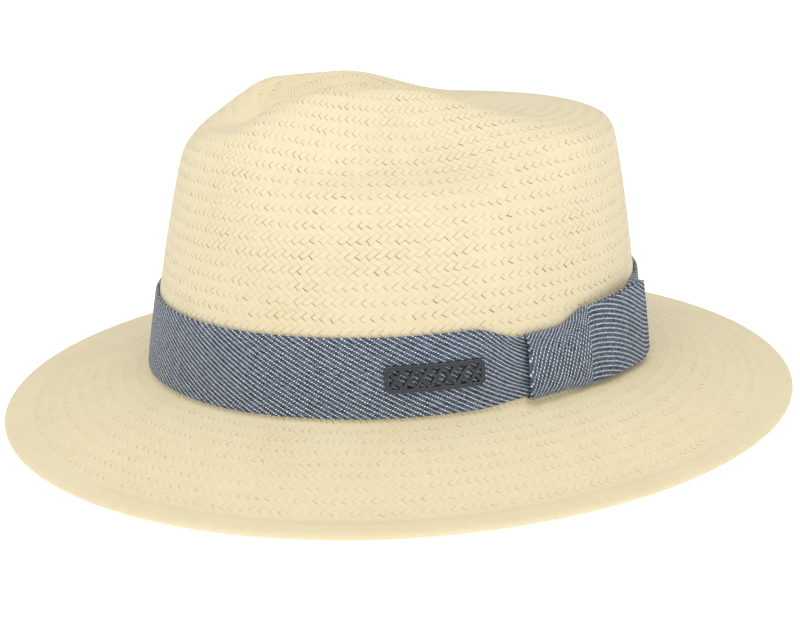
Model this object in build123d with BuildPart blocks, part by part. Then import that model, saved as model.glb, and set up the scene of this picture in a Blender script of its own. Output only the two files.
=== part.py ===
from build123d import *
import math
import os

os.makedirs("parts", exist_ok=True)

# Axes: +Z up, the hat's front faces -Y, the wearer's left side is +X.
# The origin is the centre of the brim edge, in the plane the brim stands on.

# ---------------------------------------------------------------- sizes (mm, degrees)
HEAD_LENGTH = 206.0        # straw at the brim break, front to back
HEAD_WIDTH = 168.0         # straw at the brim break, side to side
BRIM_FRONT = 58
BRIM_SIDE = 58
BRIM_BACK = 65
BREAK_HEIGHT = 16.5        # height of the brim break above the brim edge
BREAK_LEG = 4.5            # how far the rounded break reaches along brim and wall
STRAW = 1.2                # thickness of the woven straw
HEM = 3.0                  # thickness of the turned hem with its wire
HEM_WIDTH = 8.0
CROWN = 109              # highest part of the ridges above the break
FRONT_TOP = 95.5           # nose of the crown above the break
BACK_TOP = 95            # back of the crown above the break
VALLEY = 98.0              # floor of the centre crease above the break
LEAN_FRONT = 16.5          # how far the wall leans in on its way up
LEAN_SIDE = 15
LEAN_BACK = 12.5
CREASE_FRONT = 52.0        # front end of the crease, forward of the centre
CREASE_BACK = 42.0         # back end of the crease, behind the centre
CREASE_HALF = 5.0          # half width of the level floor of the crease
RIDGE_HALF = 28.5          # half the distance between the ridges at the side dents
NOSE_HALF = 9.0            # half the distance between the ridges at the nose
SHOULDER = 72            # height of the bulge under each side dent
DENT_FLOOR = 84.0          # height of the floor of each side dent
DENT_PLACE = 0.45          # place of the dent floor between wall and ridge
BACK_ROUND = 13          # rounding of the back top edge
PINCH_START, PINCH_FULL = 0.0, 55.0       # where round the hat the front pinch grows
PINCH_FADE, PINCH_END = 80.0, 130.0       # where it fades into the plain back

SOFT_GAP = 0.3             # space between soft pieces that lie on each other
BAND_SEAT = 1.9            # bottom edge of the band above the break
BAND_HEIGHT = 29
BAND_THICK = 1.4
BAND_GATHER = 4          # how much the knot draws the band's top edge down
BAND_GATHER_LOW = 1.5      # and its bottom edge up
GATHER_REACH = 11.0        # half width of the gather, in degrees round the hat

KNOT_ANGLE = 105.75         # middle of the knot, degrees round from the front
KNOT_SPAN = 17.5           # knot strip, degrees round
KNOT_THICK = 2.4
KNOT_LIP = 1.0             # fold of the knot over the band's edges
WING_SPAN = 24           # bow wing, degrees round
WING_THICK = 2.4
WING_FLARE = 3.0           # how far the wing's free end stands out
WING_GAP = 0.25            # between the knot's edge and the wing, degrees round
WING_RISE = 1.2            # free end of the wing above and below the band's edges

BADGE_ANGLE = 77
BADGE_LONG = 36.5
BADGE_TALL = 9.4
BADGE_THICK = 1.2
BADGE_LIFT = 14.5          # centre of the badge above the band's bottom edge
BADGE_FRAME = 1.3
BADGE_NOTCH = 1.0
LATTICE_CELLS = 7
LATTICE_BAR = 0.9
LEG_WIDE = 2.4
LEG_THICK = 0.5
LEG_FIT = 0.15
LEG_FOOT = 3.2

SWEAT_SEAT = 1.0           # lower edge of the sweatband above the break
SWEAT_HEIGHT = 26.0
SWEAT_THICK = 1.1
SWEAT_ROLL = 2.6           # thickness of the roll round the reed
SWEAT_ROLL_TALL = 3.2
REED = 1.2
REED_FIT = 0.15
REED_HEIGHT = 1.6          # reed centre above the sweatband's lower edge
STITCH_HEIGHT = 6.0        # thread line above the sweatband's lower edge
THREAD = 0.5
SEAM_SPLIT = 0.4           # half the gap between ring ends at the back, degrees
WIRE = 0.9
WIRE_FIT = 0.15
WIRE_INSET = 1.8           # wire centre in from the brim edge
SLEEVE = 1.6
SLEEVE_BORE = 1.1
SLEEVE_SPAN = 3.2          # half the sleeve, degrees round
REAR_BOW_SPAN = 10.0       # half the inside bow, degrees round
REAR_BOW_TALL = 9.0
REAR_BOW_WAIST = 0.6       # its height at the middle, as a share
REAR_BOW_THICK = 1.2
REAR_BOW_HEIGHT = 16.0     # its middle above the break
LABEL_ANGLE = 150.0
LABEL_SPAN = 8.0           # half the label, degrees round
LABEL_TALL = 15.0
LABEL_THICK = 0.6
LABEL_HEIGHT = 19.0
TACK_LOW = 2.4             # lower leg of a tack below the band's top edge
TACK_HIGH = 1.2            # upper leg above it
TACK_HOLE = 0.9
TACK_SHIFT = 4.0           # back tack to the left of the middle, degrees
TACK_FRONT = 30.0          # front tack, degrees round the right side

ROUND_STEPS = 60           # columns of surface points round half the hat
RISE_STEPS = 84            # rows from brim edge to crease
RING_STEPS = 48            # columns round half a ring
SURFACE_TOL = 0.03


# the head oval's centre, so that the brim's own middle is the origin
head_shift = (BRIM_FRONT - BRIM_BACK) / 2

# ---------------------------------------------------------------- the hat's form
def ease(value, start, end):
    """Smooth step from 0 at start to 1 at end."""
    s = min(max((value - start) / (end - start), 0.0), 1.0)
    return s * s * (3.0 - 2.0 * s)


def mix(a, b, s):
    return a + (b - a) * s


def oval(turn):
    """Head oval in plan; turn is 0 at the front, 90 at the left side, 180 at the back."""
    t = math.radians(turn)
    return HEAD_WIDTH / 2 * math.sin(t), head_shift - HEAD_LENGTH / 2 * math.cos(t)


def oval_normal(turn):
    """Unit vector pointing straight out of the head oval, in plan."""
    t = math.radians(turn)
    nx = HEAD_LENGTH * math.sin(t)
    ny = -HEAD_WIDTH * math.cos(t)
    n = math.hypot(nx, ny)
    return nx / n, ny / n


def crease_point(turn):
    """Where a line up the crown from this turn ends, on the rim of the crease's floor."""
    t = math.radians(turn)
    along = mix(-CREASE_FRONT, CREASE_BACK, (1 - math.cos(t)) / 2)
    return CREASE_HALF * math.sin(t), head_shift + along


def brim_width(turn):
    t = math.radians(turn)
    ends = mix(BRIM_FRONT, BRIM_BACK, (1 - math.cos(t)) / 2)
    return mix(BRIM_SIDE, ends, math.cos(t) ** 2)


def nose_profile(span):
    """Front of the crown: (inward, up) control points from the break to the crease."""
    lean, top = LEAN_FRONT, FRONT_TOP
    return [(0.25 * lean, 0.28 * top), (0.55 * lean, 0.55 * top), (0.85 * lean, 0.8 * top),
            (1.05 * lean, 0.93 * top), (1.35 * lean, 0.985 * top), (1.6 * lean, top),
            (span - NOSE_HALF, top), (span - 0.6 * NOSE_HALF, mix(top, VALLEY, 0.4)),
            (span - 0.25 * NOSE_HALF, VALLEY), (span, VALLEY)]


def dent_profile(span):
    """Side of the crown, through the bulge, the dent and over the ridge."""
    ridge = RIDGE_HALF - CREASE_HALF
    lean, run = LEAN_SIDE, span - ridge - LEAN_SIDE
    return [(0.2 * lean, 0.35 * SHOULDER), (0.5 * lean, 0.72 * SHOULDER), (lean, SHOULDER),
            (lean + 0.16 * run, mix(SHOULDER, DENT_FLOOR, 0.65)),
            (lean + DENT_PLACE * run, DENT_FLOOR),
            (span - ridge - 10, mix(DENT_FLOOR, CROWN, 0.55)),
            (span - ridge - 1, CROWN + 2), (span - ridge + 7, CROWN),
            (span - 0.25 * ridge, VALLEY), (span, VALLEY)]


def back_profile(span):
    """Plain rounded back of the crown."""
    lean, top, rest = LEAN_BACK, BACK_TOP, span - LEAN_BACK - BACK_ROUND
    mid = lean + BACK_ROUND
    return [(0.25 * lean, 0.28 * top), (0.55 * lean, 0.55 * top), (0.85 * lean, 0.78 * top),
            (lean, top - BACK_ROUND), (lean + 0.15 * BACK_ROUND, top - 0.25 * BACK_ROUND),
            (lean + 0.9 * BACK_ROUND, top), (mid + 0.25 * rest, mix(top, VALLEY, 0.25) + 0.5),
            (mid + 0.5 * rest, mix(top, VALLEY, 0.5) + 0.5),
            (mid + 0.8 * rest, VALLEY), (span, VALLEY)]


def meridian(turn):
    """Control points (inward, height) of the line from the brim edge up to the crease."""
    px, py = oval(turn)
    cx, cy = crease_point(turn)
    span = math.hypot(px - cx, py - cy)
    width = brim_width(turn)
    front = 1 - ease(turn, PINCH_START, PINCH_FULL)
    back = ease(turn, PINCH_FADE, PINCH_END)
    side = 1 - front - back
    hem_top = (HEM + STRAW) / 2
    points = [(-width, hem_top), (HEM_WIDTH - width, hem_top),
              (-0.62 * width, mix(hem_top, BREAK_HEIGHT, 0.38)),
              (-0.32 * width, mix(hem_top, BREAK_HEIGHT, 0.72)),
              (-BREAK_LEG, BREAK_HEIGHT - 0.12 * BREAK_LEG), (0.0, BREAK_HEIGHT),
              (0.0, BREAK_HEIGHT + BREAK_LEG)]
    for nose, dent, plain in zip(nose_profile(span), dent_profile(span), back_profile(span)):
        inward = front * nose[0] + side * dent[0] + back * plain[0]
        up = front * nose[1] + side * dent[1] + back * plain[1]
        points.append((min(inward, span), BREAK_HEIGHT + up))
    return points


def blend_curve(points, u):
    """Point at u on the clamped even cubic B-spline of these control points."""
    spans = len(points) - 3
    place = min(max(u, 0.0), 1.0) * spans
    k = min(int(place), spans - 1)
    knots = [min(max(i - 3, 0), spans) for i in range(len(points) + 4)]
    work = [points[k + j] for j in range(4)]
    for level in range(1, 4):
        for j in range(3, level - 1, -1):
            low = knots[k + j]
            high = knots[k + j + 4 - level]
            s = (place - low) / (high - low)
            work[j] = (mix(work[j - 1][0], work[j][0], s), mix(work[j - 1][1], work[j][1], s))
    return work[3]


def in_plan(turn, inward):
    """Plan point this far inward of the head oval; negative is out over the brim."""
    px, py = oval(turn)
    if inward < 0:
        nx, ny = oval_normal(turn)
        return px - nx * inward, py - ny * inward
    cx, cy = crease_point(turn)
    s = inward / math.hypot(px - cx, py - cy)
    return mix(px, cx, s), mix(py, cy, s)


def straw_face(turn, u):
    """Point on the middle of the straw's outer face."""
    inward, height = blend_curve(meridian(turn), u)
    x, y = in_plan(turn, inward)
    return Vector(x, y, height)


def straw_normal(turn, u):
    """Outward unit normal of the straw's outer face."""
    step_t, step_u = 0.05, 0.0005
    along = straw_face(turn, min(u + step_u, 1.0)) - straw_face(turn, max(u - step_u, 0.0))
    if u == 1:
        return Vector(0, 0, 1)
    if turn == 0:
        return Vector(0, -along.Z, along.Y).normalized()
    if turn == 180:
        return Vector(0, along.Z, -along.Y).normalized()
    across = straw_face(turn + step_t, u) - straw_face(turn - step_t, u)
    return across.cross(along).normalized()


def straw_grid(depth):
    """Rows of points on the straw, depth 0 on the outer face and 1 on the inner face."""
    grid = []
    for i in range(RISE_STEPS + 1):
        u = i / RISE_STEPS
        row = []
        for j in range(ROUND_STEPS + 1):
            turn = 180.0 * j / ROUND_STEPS
            inward, height = blend_curve(meridian(turn), u)
            edge = ease(inward + brim_width(turn), HEM_WIDTH * 1.15, HEM_WIDTH * 0.85)
            thick = mix(STRAW, HEM, edge)
            lift = mix(0.0, (HEM - STRAW) / 2, edge)
            n = straw_normal(turn, u)
            row.append(straw_face(turn, u) + n * (lift - thick * depth))
        grid.append(row)
    return grid


def wall_point(side, turn, height, out):
    """Point beside the crown wall at this height; out is measured outward in plan."""
    points = meridian(turn)
    low, high = 0.1, 0.55
    for _ in range(40):
        mid = (low + high) / 2
        if blend_curve(points, mid)[1] < height:
            low = mid
        else:
            high = mid
    x, y = in_plan(turn, blend_curve(points, low)[0])
    nx, ny = oval_normal(turn)
    return Vector(side * (x + nx * out), y + ny * out, height)


def surface(grid):
    return Face.make_surface_from_array_of_points(grid, tol=SURFACE_TOL, min_deg=3)


def rim_faces(skin, back):
    """Faces joining the matching edges of two skins, in the order of the first one's edges."""
    faces = []
    for edge in skin.edges():
        mate = min(back.edges(), key=lambda e: (e @ 0.5 - edge @ 0.5).length
                   + min((e @ 0 - edge @ 0).length, (e @ 0 - edge @ 1).length))
        if (mate @ 0 - edge @ 0).length > (mate @ 1 - edge @ 0).length:
            mate = mate.reversed()
        faces.append(Face.make_surface_from_curves(edge, mate))
    return faces


def solid_between(outer, inner):
    """Closed solid between two grids of points with the same rows and columns."""
    skin, back = surface(outer), surface(inner)
    return Solid(Shell([skin, back] + rim_faces(skin, back)))


def crease_floor(skin, height):
    """Level face inside the highest edge of a straw skin, closed along the middle plane."""
    rim = min(skin.edges(), key=lambda e: abs((e @ 0.5).Z - height) + abs((e @ 0).Z - height))
    middle = Edge.make_line(rim @ 1, rim @ 0)
    return Face(Wire([rim, middle])), middle


def straw_half():
    """Left half of the straw body: both skins, the level crease floor and the cut faces."""
    skin, back = surface(straw_grid(0)), surface(straw_grid(1))
    top = BREAK_HEIGHT + VALLEY
    floor_top, line_top = crease_floor(skin, top)
    floor_under, line_under = crease_floor(back, top - STRAW)
    walls = [f for f in rim_faces(skin, back) if f.center().Z < top - STRAW]
    if (line_top @ 0 - line_under @ 0).length > (line_top @ 0 - line_under @ 1).length:
        line_under = line_under.reversed()
    walls.append(Face.make_surface_from_curves(line_top, line_under))
    return Solid(Shell([skin, back, floor_top, floor_under] + walls))


def wall_patch(side, start, end, low, high, near, far, steps=RING_STEPS, rises=6):
    """Solid lying along the wall between the heights low and high and the faces near and far."""
    grids = []
    for out in (far, near):
        grid = []
        for i in range(rises + 1):
            row = []
            for j in range(steps + 1):
                turn = mix(start, end, j / steps)
                height = mix(low(turn), high(turn), i / rises)
                row.append(wall_point(side, turn, height, out(turn, height)))
            grid.append(row)
        grids.append(grid)
    return solid_between(grids[0], grids[1])


def wall_plane(side, turn, height):
    """Plane on the crown wall: x round the hat, y up, z straight out."""
    nx, ny = oval_normal(turn)
    return Plane(origin=wall_point(side, turn, height, 0), x_dir=(-ny, side * nx, 0),
                 z_dir=(side * nx, ny, 0))


def ring_points(height, out, reach):
    """Points of an open ring beside the wall, split at the back."""
    turns = [reach * j / RING_STEPS for j in range(-RING_STEPS, RING_STEPS + 1)]
    return [wall_point(1 if t >= 0 else -1, abs(t), height, out) for t in turns]


def brim_points(start, end, steps):
    """Points along the middle of the hem, WIRE_INSET in from the brim edge."""
    points = []
    for j in range(steps + 1):
        turn = mix(start, end, j / steps)
        x, y = in_plan(turn, WIRE_INSET - brim_width(turn))
        points.append((x, y, HEM / 2))
    return points


# ---------------------------------------------------------------- places that fit together
band_low = BREAK_HEIGHT + BAND_SEAT
band_high = band_low + BAND_HEIGHT
band_back = SOFT_GAP
band_front = band_back + BAND_THICK
over_band = band_front + SOFT_GAP
sweat_low = BREAK_HEIGHT + SWEAT_SEAT
sweat_out = -STRAW - SOFT_GAP
sweat_in = sweat_out - SWEAT_THICK
on_sweat = sweat_in - SOFT_GAP
knot_start = KNOT_ANGLE - KNOT_SPAN / 2
knot_end = KNOT_ANGLE + KNOT_SPAN / 2
wing_start = knot_end + WING_GAP
wing_end = wing_start + WING_SPAN
tack_places = {"front": (-1, TACK_FRONT), "right": (-1, 90.0), "back": (1, 180.0 - TACK_SHIFT)}


def gathered(turn):
    """1 under the middle of the knot, fading to 0 either side of it."""
    return 1 - ease(abs(turn - KNOT_ANGLE), KNOT_SPAN / 4, KNOT_SPAN / 4 + GATHER_REACH)


def left_low(turn):
    return band_low + BAND_GATHER_LOW * gathered(turn)


def left_high(turn):
    return band_high - BAND_GATHER * gathered(turn)


# ---------------------------------------------------------------- woven straw body
straw_left = straw_half()
with BuildPart() as straw_body:
    add(straw_left)
    mirror(about=Plane.YZ)
    # channel for the brim wire, wider where the sleeve sits
    with BuildLine() as wire_channel:
        Spline(*brim_points(180, 540, 2 * RING_STEPS)[:-1], periodic=True)
    with BuildSketch(Plane(wire_channel.line @ 0, z_dir=wire_channel.line % 0)):
        Circle(WIRE / 2 + WIRE_FIT)
    sweep(path=wire_channel.line, mode=Mode.SUBTRACT)
    with BuildLine() as sleeve_channel:
        Spline(*brim_points(180 - SLEEVE_SPAN * 1.1, 180 + SLEEVE_SPAN * 1.1, 6))
    with BuildSketch(Plane(sleeve_channel.line @ 0, z_dir=sleeve_channel.line % 0)):
        Circle(SLEEVE / 2 + WIRE_FIT)
    sweep(path=sleeve_channel.line, mode=Mode.SUBTRACT)
    # holes for the thread tacks
    for side, turn in tack_places.values():
        for height in (band_high - TACK_LOW, band_high + TACK_HIGH):
            with BuildSketch(wall_plane(side, turn, height)):
                Circle(TACK_HOLE / 2)
            extrude(amount=2 * STRAW, both=True, mode=Mode.SUBTRACT)
straw_body.part.label = "straw_body"
export_step(straw_body.part, "parts/straw_body.step")

# ---------------------------------------------------------------- brim wire and its sleeve
with BuildPart() as brim_wire:
    with BuildLine() as wire_line:
        Spline(*brim_points(180 + SEAM_SPLIT / 2, 540 - SEAM_SPLIT / 2, 2 * RING_STEPS))
    with BuildSketch(Plane(wire_line.line @ 0, z_dir=wire_line.line % 0)):
        Circle(WIRE / 2)
    sweep(path=wire_line.line)
brim_wire.part.label = "brim_wire"
export_step(brim_wire.part, "parts/brim_wire.step")

with BuildPart() as wire_sleeve:
    with BuildLine() as sleeve_line:
        Spline(*brim_points(180 - SLEEVE_SPAN, 180 + SLEEVE_SPAN, 6))
    with BuildSketch(Plane(sleeve_line.line @ 0, z_dir=sleeve_line.line % 0)):
        Circle(SLEEVE / 2)
        Circle(SLEEVE_BORE / 2, mode=Mode.SUBTRACT)
    sweep(path=sleeve_line.line)
wire_sleeve.part.label = "wire_sleeve"
export_step(wire_sleeve.part, "parts/wire_sleeve.step")

# ---------------------------------------------------------------- denim band
band_left = wall_patch(1, 0, 180, left_low, left_high,
                       lambda t, h: band_back, lambda t, h: band_front)
band_right = wall_patch(-1, 0, 180, lambda t: band_low, lambda t: band_high,
                        lambda t, h: band_back, lambda t, h: band_front)
badge_height = band_low + BADGE_LIFT
window_long = BADGE_LONG - 2 * BADGE_FRAME
window_tall = BADGE_TALL - 2 * BADGE_FRAME
cell = window_long / LATTICE_CELLS
leg_step = math.degrees(cell * (LATTICE_CELLS - 1) / HEAD_LENGTH)
leg_turns = (BADGE_ANGLE - leg_step, BADGE_ANGLE + leg_step)
foot_low = band_back + LEG_FIT
foot_high = foot_low + LEG_THICK
with BuildPart() as hat_band:
    add(band_left)
    add(band_right)
    for turn, inward in zip(leg_turns, (1, -1)):
        face = wall_plane(1, turn, badge_height)
        # slot for the badge leg, and the hollow its foot is pressed into
        with BuildSketch(face):
            Rectangle(LEG_THICK + 2 * LEG_FIT, LEG_WIDE + 2 * LEG_FIT)
        extrude(amount=over_band, mode=Mode.SUBTRACT)
        with BuildSketch(face):
            with Locations((inward * LEG_FOOT / 2, 0)):
                Rectangle(LEG_FOOT + LEG_THICK + 3 * LEG_FIT, LEG_WIDE + 2 * LEG_FIT)
        extrude(amount=foot_high + LEG_FIT, mode=Mode.SUBTRACT)
    for side, turn in tack_places.values():
        with BuildSketch(wall_plane(side, turn, band_high - TACK_LOW)):
            Circle(TACK_HOLE / 2)
        extrude(amount=over_band, mode=Mode.SUBTRACT)
hat_band.part.label = "hat_band"
export_step(hat_band.part, "parts/hat_band.step")

# ---------------------------------------------------------------- thread tacks through band and straw
tack_inner = -STRAW - SOFT_GAP - THREAD
tack_outer = over_band + THREAD
for place, (side, turn) in tack_places.items():
    with BuildPart() as band_tack:
        tall = TACK_LOW + TACK_HIGH
        middle = wall_plane(side, turn, band_high + (TACK_HIGH - TACK_LOW) / 2)
        with BuildSketch(Plane(middle.origin, x_dir=middle.z_dir, z_dir=middle.x_dir)):
            with Locations(((tack_inner + tack_outer) / 2, 0)):
                Rectangle(tack_outer - tack_inner, tall + THREAD)
                Rectangle(tack_outer - tack_inner - 2 * THREAD, tall - THREAD, mode=Mode.SUBTRACT)
        extrude(amount=THREAD / 2, both=True)
    band_tack.part.label = "band_tack_" + place
    export_step(band_tack.part, "parts/band_tack_" + place + ".step")

# ---------------------------------------------------------------- bow: knot strip and wing
knot_over = wall_patch(1, knot_start, knot_end,
                       lambda t: left_low(t) - SOFT_GAP - KNOT_LIP,
                       lambda t: left_high(t) + SOFT_GAP + KNOT_LIP,
                       lambda t, h: band_back, lambda t, h: over_band + KNOT_THICK, 12)
knot_room = wall_patch(1, knot_start - 1, knot_end + 1,
                       lambda t: left_low(t) - SOFT_GAP, lambda t: left_high(t) + SOFT_GAP,
                       lambda t, h: 0, lambda t, h: over_band, 12)
with BuildPart() as bow_knot:
    add(knot_over)
    add(knot_room, mode=Mode.SUBTRACT)
bow_knot.part.label = "bow_knot"
export_step(bow_knot.part, "parts/bow_knot.step")


def wing_share(turn):
    return (turn - wing_start) / WING_SPAN


def wing_near(turn, height):
    return over_band + WING_FLARE * wing_share(turn) ** 2


with BuildPart() as bow_wing:
    add(wall_patch(1, wing_start, wing_end,
                   lambda t: left_low(t) - WING_RISE * wing_share(t) ** 2,
                   lambda t: left_high(t) + WING_RISE * wing_share(t),
                   wing_near, lambda t, h: wing_near(t, h) + WING_THICK, 16))
bow_wing.part.label = "bow_wing"
export_step(bow_wing.part, "parts/bow_wing.step")

# ---------------------------------------------------------------- pierced badge with bent legs
badge_blank = wall_patch(1, BADGE_ANGLE - 14, BADGE_ANGLE + 14,
                         lambda t: badge_height - BADGE_TALL, lambda t: badge_height + BADGE_TALL,
                         lambda t, h: over_band, lambda t, h: over_band + BADGE_THICK, 16)
with BuildPart() as badge:
    add(badge_blank)
    slant = math.degrees(math.atan2(window_tall, cell))
    with BuildSketch(wall_plane(1, BADGE_ANGLE, badge_height)):
        Rectangle(BADGE_LONG, BADGE_TALL)
        with GridLocations(BADGE_LONG, BADGE_TALL, 2, 2):
            Rectangle(2 * BADGE_NOTCH, 2 * BADGE_NOTCH, mode=Mode.SUBTRACT)
        Rectangle(window_long, window_tall, mode=Mode.SUBTRACT)
        with GridLocations(cell, 0, LATTICE_CELLS, 1):
            Rectangle(math.hypot(cell, window_tall), LATTICE_BAR, rotation=slant)
            Rectangle(math.hypot(cell, window_tall), LATTICE_BAR, rotation=-slant)
    extrude(amount=over_band + 3 * BADGE_THICK, mode=Mode.INTERSECT)
    for turn, inward in zip(leg_turns, (1, -1)):
        face = wall_plane(1, turn, badge_height)
        with BuildSketch(face.offset(foot_low)):
            Rectangle(LEG_THICK, LEG_WIDE)
        extrude(amount=over_band + BADGE_THICK / 2 - foot_low)
        with BuildSketch(face.offset(foot_low)):
            with Locations((inward * LEG_FOOT / 2, 0)):
                Rectangle(LEG_FOOT + LEG_THICK, LEG_WIDE)
        extrude(amount=LEG_THICK)
badge.part.label = "badge"
export_step(badge.part, "parts/badge.step")

# ---------------------------------------------------------------- sweatband, reed and thread
def sweat_near(turn, height):
    """Inner face of the sweatband, thicker in the roll at its lower edge."""
    roll = 1 - ease(height - sweat_low, SWEAT_ROLL_TALL, SWEAT_ROLL_TALL + 1.2)
    return sweat_out - mix(SWEAT_THICK, SWEAT_ROLL, roll)


reed_out = sweat_out - SWEAT_ROLL / 2
with BuildPart() as sweatband:
    for side in (1, -1):
        add(wall_patch(side, 0, 180, lambda t: sweat_low, lambda t: sweat_low + SWEAT_HEIGHT,
                       sweat_near, lambda t, h: sweat_out, RING_STEPS, 2 * RING_STEPS))
    with BuildLine() as reed_channel:
        Spline(*ring_points(sweat_low + REED_HEIGHT, reed_out, 180 - SEAM_SPLIT / 2))
    with BuildSketch(Plane(reed_channel.line @ 0, z_dir=reed_channel.line % 0)):
        Circle(REED / 2 + REED_FIT)
    sweep(path=reed_channel.line, mode=Mode.SUBTRACT)
sweatband.part.label = "sweatband"
export_step(sweatband.part, "parts/sweatband.step")

with BuildPart() as sweatband_reed:
    with BuildLine() as reed_line:
        Spline(*ring_points(sweat_low + REED_HEIGHT, reed_out, 180 - SEAM_SPLIT))
    with BuildSketch(Plane(reed_line.line @ 0, z_dir=reed_line.line % 0)):
        Circle(REED / 2)
    sweep(path=reed_line.line)
sweatband_reed.part.label = "sweatband_reed"
export_step(sweatband_reed.part, "parts/sweatband_reed.step")

with BuildPart() as sweatband_stitching:
    with BuildLine() as stitch_line:
        Spline(*ring_points(sweat_low + STITCH_HEIGHT, on_sweat - THREAD / 2, 180 - SEAM_SPLIT))
    with BuildSketch(Plane(stitch_line.line @ 0, z_dir=stitch_line.line % 0)):
        Circle(THREAD / 2)
    sweep(path=stitch_line.line)
sweatband_stitching.part.label = "sweatband_stitching"
export_step(sweatband_stitching.part, "parts/sweatband_stitching.step")

# ---------------------------------------------------------------- small bow and label inside
def bow_half(turn):
    """Half height of the inside bow, narrow at its middle."""
    share = min(abs(turn - 180) / REAR_BOW_SPAN, 1.0)
    return REAR_BOW_TALL / 2 * mix(REAR_BOW_WAIST, 1.0, ease(share, 0, 0.6))


bow_middle = BREAK_HEIGHT + REAR_BOW_HEIGHT
with BuildPart() as rear_bow:
    add(wall_patch(1, 180 - REAR_BOW_SPAN, 180 + REAR_BOW_SPAN,
                   lambda t: bow_middle - bow_half(t), lambda t: bow_middle + bow_half(t),
                   lambda t, h: on_sweat - REAR_BOW_THICK, lambda t, h: on_sweat, 16))
rear_bow.part.label = "rear_bow"
export_step(rear_bow.part, "parts/rear_bow.step")

label_low = BREAK_HEIGHT + LABEL_HEIGHT - LABEL_TALL / 2
with BuildPart() as size_label:
    add(wall_patch(1, LABEL_ANGLE - LABEL_SPAN, LABEL_ANGLE + LABEL_SPAN,
                   lambda t: label_low, lambda t: label_low + LABEL_TALL,
                   lambda t, h: on_sweat - LABEL_THICK, lambda t, h: on_sweat, 12))
size_label.part.label = "size_label"
export_step(size_label.part, "parts/size_label.step")
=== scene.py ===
import math

import bpy
import bmesh
import numpy as np
from mathutils import Matrix, Vector


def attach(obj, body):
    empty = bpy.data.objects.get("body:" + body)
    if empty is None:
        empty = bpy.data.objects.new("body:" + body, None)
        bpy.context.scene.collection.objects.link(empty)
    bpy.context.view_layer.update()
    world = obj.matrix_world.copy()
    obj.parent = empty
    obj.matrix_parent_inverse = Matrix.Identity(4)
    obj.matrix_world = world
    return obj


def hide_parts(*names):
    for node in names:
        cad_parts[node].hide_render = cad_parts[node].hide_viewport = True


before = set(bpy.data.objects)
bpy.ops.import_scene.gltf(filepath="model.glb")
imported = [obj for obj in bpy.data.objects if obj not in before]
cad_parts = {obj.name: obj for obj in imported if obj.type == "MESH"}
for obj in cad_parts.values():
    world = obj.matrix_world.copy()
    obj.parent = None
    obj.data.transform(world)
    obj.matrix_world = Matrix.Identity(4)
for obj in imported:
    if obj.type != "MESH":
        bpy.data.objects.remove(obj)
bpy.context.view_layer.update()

# ---------------------------------------------------------------- camera, floor and lights
# The hat stands on its brim on a white table, seen from its wearer's left and a little from
# the front, under one large soft box, with three smaller ones in front, at its left and behind.

LOOK_AT = (-0.0073, -0.0008, 0.0231)
CAMERA_TURN, CAMERA_RISE, CAMERA_ROLL = 66.13, 18.46, -0.6     # degrees
CAMERA_AWAY = 0.5489
CAMERA_LENS = 58.65                                         # mm on a 36 mm wide sensor


def colour(code):
    """sRGB hex code to a linear colour: each channel over 255, through the sRGB curve."""
    channels = np.array([int(code[i:i + 2], 16) for i in (1, 3, 5)]) / 255.0
    low, high = channels / 12.92, ((channels + 0.055) / 1.055) ** 2.4
    return (*np.where(channels <= 0.04045, low, high).tolist(), 1.0)


def aim(thing, place, target, roll=0.0):
    """Puts a light or camera at place, looking along its -Z axis at target."""
    facing = (Vector(target) - Vector(place)).to_track_quat("-Z", "Y").to_matrix().to_4x4()
    rolled = facing @ Matrix.Rotation(math.radians(roll), 4, "Z")
    thing.matrix_world = Matrix.Translation(place) @ rolled


def around(turn, rise, away, target=LOOK_AT):
    """Point at this turn round the hat from its front and this rise above level, in degrees."""
    t, e = math.radians(turn), math.radians(rise)
    spoke = Vector((math.sin(t) * math.cos(e), -math.cos(t) * math.cos(e), math.sin(e)))
    return Vector(target) + spoke * away


camera = bpy.data.objects.new("camera", bpy.data.cameras.new("camera"))
bpy.context.collection.objects.link(camera)
camera.data.lens = CAMERA_LENS
camera.data.sensor_width = 36.0
camera.data.clip_start, camera.data.clip_end = 0.02, 50.0
aim(camera, around(CAMERA_TURN, CAMERA_RISE, CAMERA_AWAY), LOOK_AT, CAMERA_ROLL)
bpy.context.scene.camera = camera


def soft_box(name, turn, rise, away, width, watts, tint):
    """Square area light of this width, at this turn, rise and distance, aimed at the hat."""
    data = bpy.data.lights.new(name, "AREA")
    data.shape, data.size, data.energy, data.color = "SQUARE", width, watts, colour(tint)[:3]
    lamp = bpy.data.objects.new(name, data)
    bpy.context.collection.objects.link(lamp)
    aim(lamp, around(turn, rise, away), LOOK_AT)


soft_box("overhead_box", 60, 70, 1.7, 1.5, 12.6, "#FFFDF8")
soft_box("front_box", 20, 35, 1.7, 1.0, 2.6, "#FFFCF5")
soft_box("left_box", 110, 30, 1.8, 1.2, 4.6, "#FFFFFF")
soft_box("back_box", 250, 35, 2.0, 1.2, 2.0, "#FFFFFF")

world = bpy.data.worlds.new("studio_white")
bpy.context.scene.world = world
world.use_nodes = True
world.node_tree.nodes["Background"].inputs["Color"].default_value = colour("#FFFFFF")
world.node_tree.nodes["Background"].inputs["Strength"].default_value = 0.45
bpy.context.scene.view_settings.view_transform = "Standard"


def paint(name):
    """New material with its shader, ready for its own nodes."""
    material = bpy.data.materials.new(name)
    material.use_nodes = True
    return material, material.node_tree, material.node_tree.nodes["Principled BSDF"]


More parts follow.
